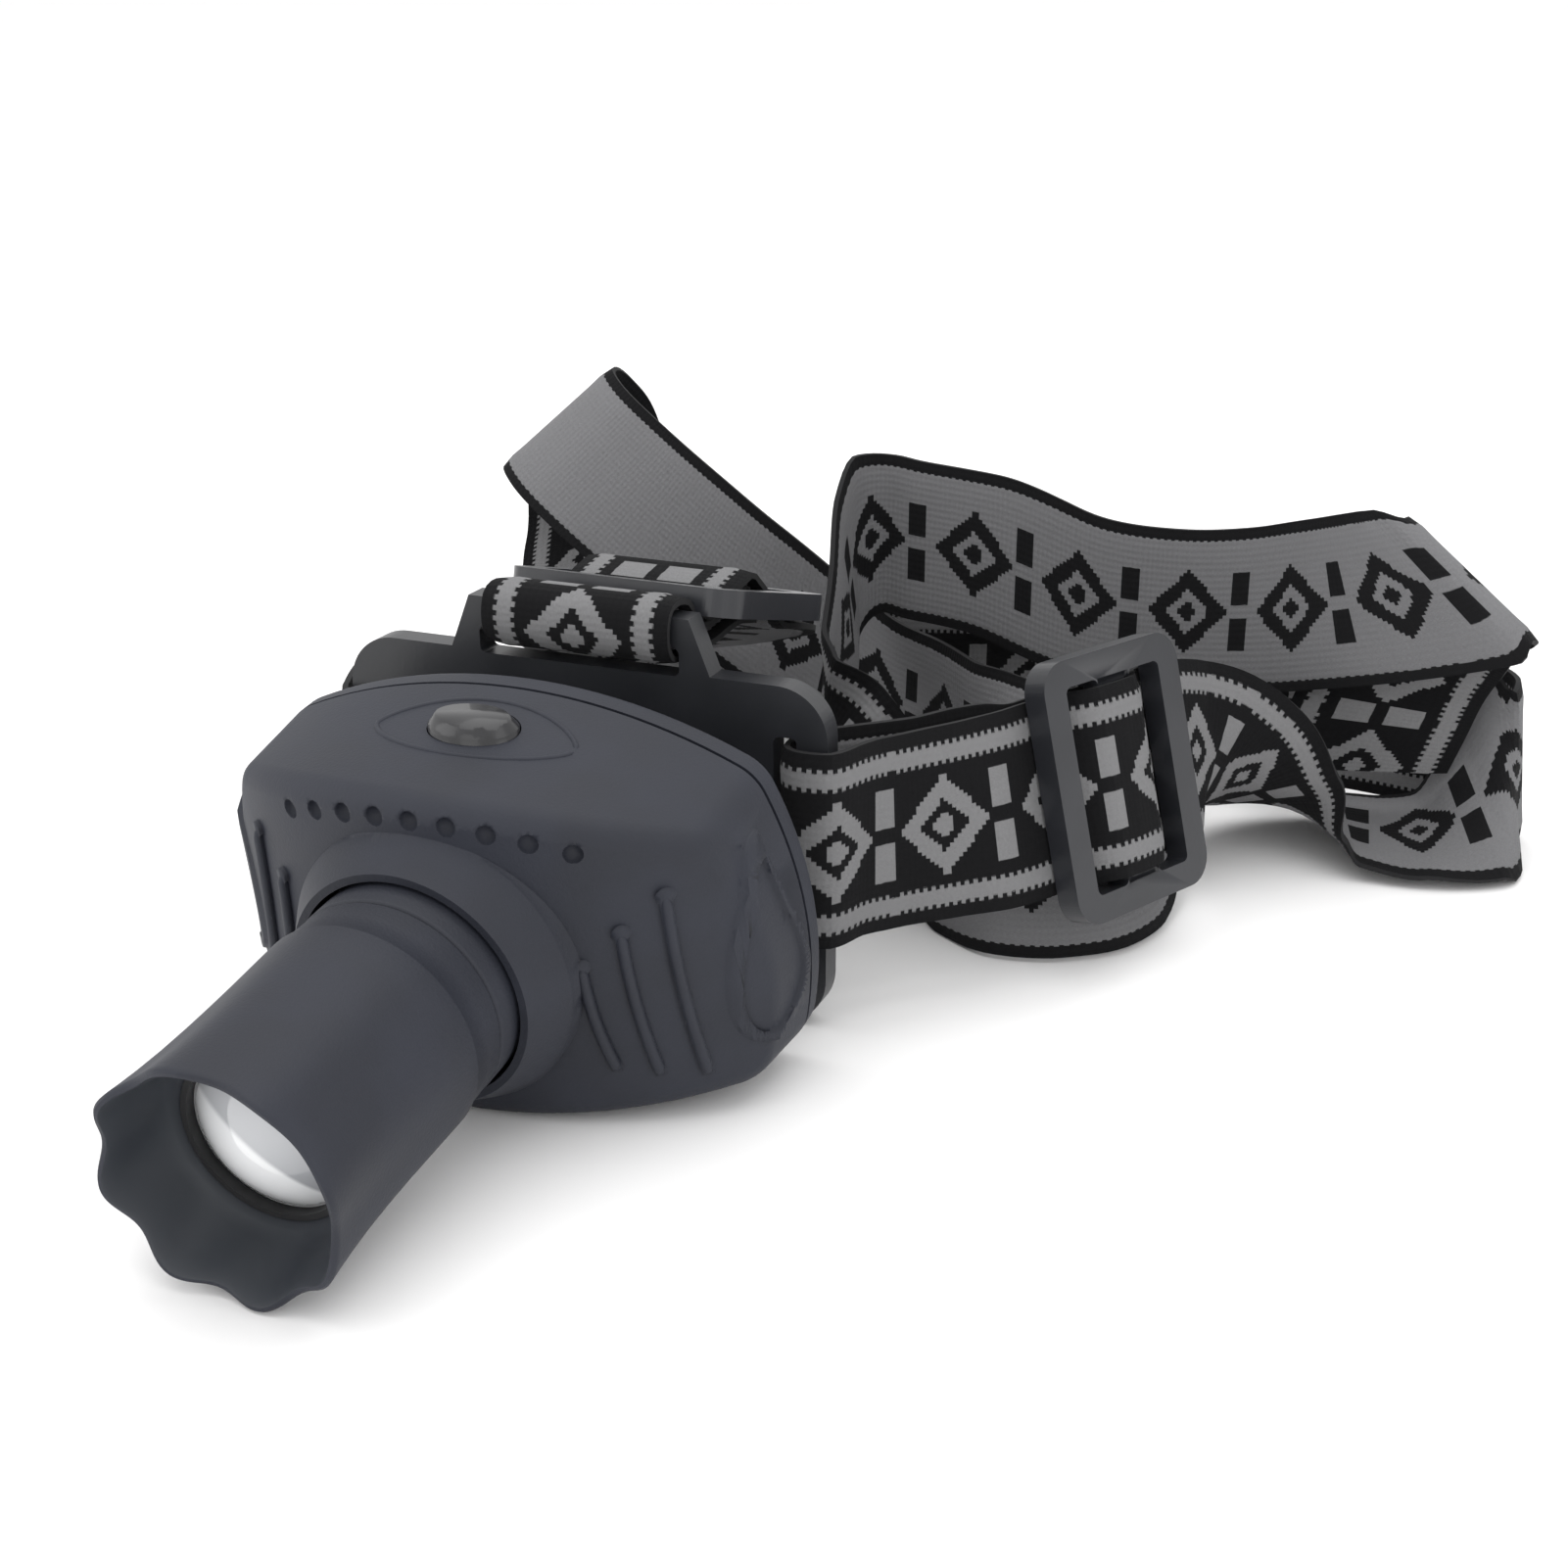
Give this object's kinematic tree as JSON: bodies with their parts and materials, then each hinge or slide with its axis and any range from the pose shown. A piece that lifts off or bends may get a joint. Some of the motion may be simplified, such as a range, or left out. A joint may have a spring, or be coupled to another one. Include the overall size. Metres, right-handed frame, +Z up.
{
  "type": "headlamp",
  "caption": "Headlamp with a sliding focus head, tilting rubber-skinned case on a bracket, and a crumpled elastic headband with an over-head strap and webbing adjusters.",
  "frame": {"origin": "middle of the bracket plate's bottom edge, on the floor it stands on", "axes": "+Z up, -Y the way the lamp shines, +X across the lamp"},
  "size_m": [0.1678, 0.1865, 0.0618],
  "materials": {
    "case_rubber": "soft-touch matt coating",
    "bracket_plastic": "satin moulded",
    "slider_plastic": "smooth moulded",
    "button_plastic": "gloss",
    "lens_clear": "clear polished",
    "ring_black": "matt",
    "post_alloy": "machined",
    "pin_steel": "drawn",
    "contact_steel": "nickel plated",
    "seal_rubber": "smooth",
    "board_green": "solder mask",
    "led_yellow": "domed",
    "switch_metal": "pressed",
    "tray_plastic": "moulded",
    "cell_jacket": "plain printed sleeve",
    "wire_red": "insulation",
    "wire_black": "insulation",
    "webbing": "woven jacquard elastic"
  },
  "bodies": {
    "headband": {"bracket": "bracket_plastic", "tilt_pin": "pin_steel", "slider_a": "slider_plastic", "slider_b": "slider_plastic", "main_strap": "webbing", "top_strap": "webbing"},
    "tilt_case": {"rear_cover": "case_rubber", "door_pin": "pin_steel"},
    "lamp_front": {"front_shell": "case_rubber", "battery_tray": "tray_plastic", "cell_1": "cell_jacket", "cell_2": "cell_jacket", "cell_3": "cell_jacket", "contact_plates": "contact_steel", "contact_springs": "contact_steel", "switch_board": "board_green", "tactile_switch": "switch_metal", "led_post": "post_alloy", "led_board": "board_green", "led_emitter": "led_yellow", "o_ring": "seal_rubber", "stop_ring": "pin_steel", "tray_screws": "pin_steel", "red_wire": "wire_red", "black_wire": "wire_black"},
    "zoom": {"zoom_head": "case_rubber", "lens": "lens_clear", "lens_ring": "ring_black"},
    "button": {"button_cap": "button_plastic"}
  },
  "joints": [
    {"name": "tilt", "type": "hinge", "parent": "headband", "child": "tilt_case", "pos_m": [0, -0.00517, 0.00475], "axis": [1, 0, 0], "range_deg": [-7.5, 52.5]},
    {"name": "door", "type": "hinge", "parent": "tilt_case", "child": "lamp_front", "pos_m": [-0.0366, -0.0151, 0.01737], "axis": [0, -0.1305, 0.9914], "range_deg": [-100, 0]},
    {"name": "zoom_slide", "type": "slide", "parent": "lamp_front", "child": "zoom", "axis": [0, -0.9914, -0.1305], "range_m": [-0.005, 0.003]},
    {"name": "button_press", "type": "slide", "parent": "lamp_front", "child": "button", "axis": [0, 0.1305, -0.9914], "range_m": [0, 0.0006], "stiffness_N_per_m": 1500, "springref_m": -0.0004}
  ]
}
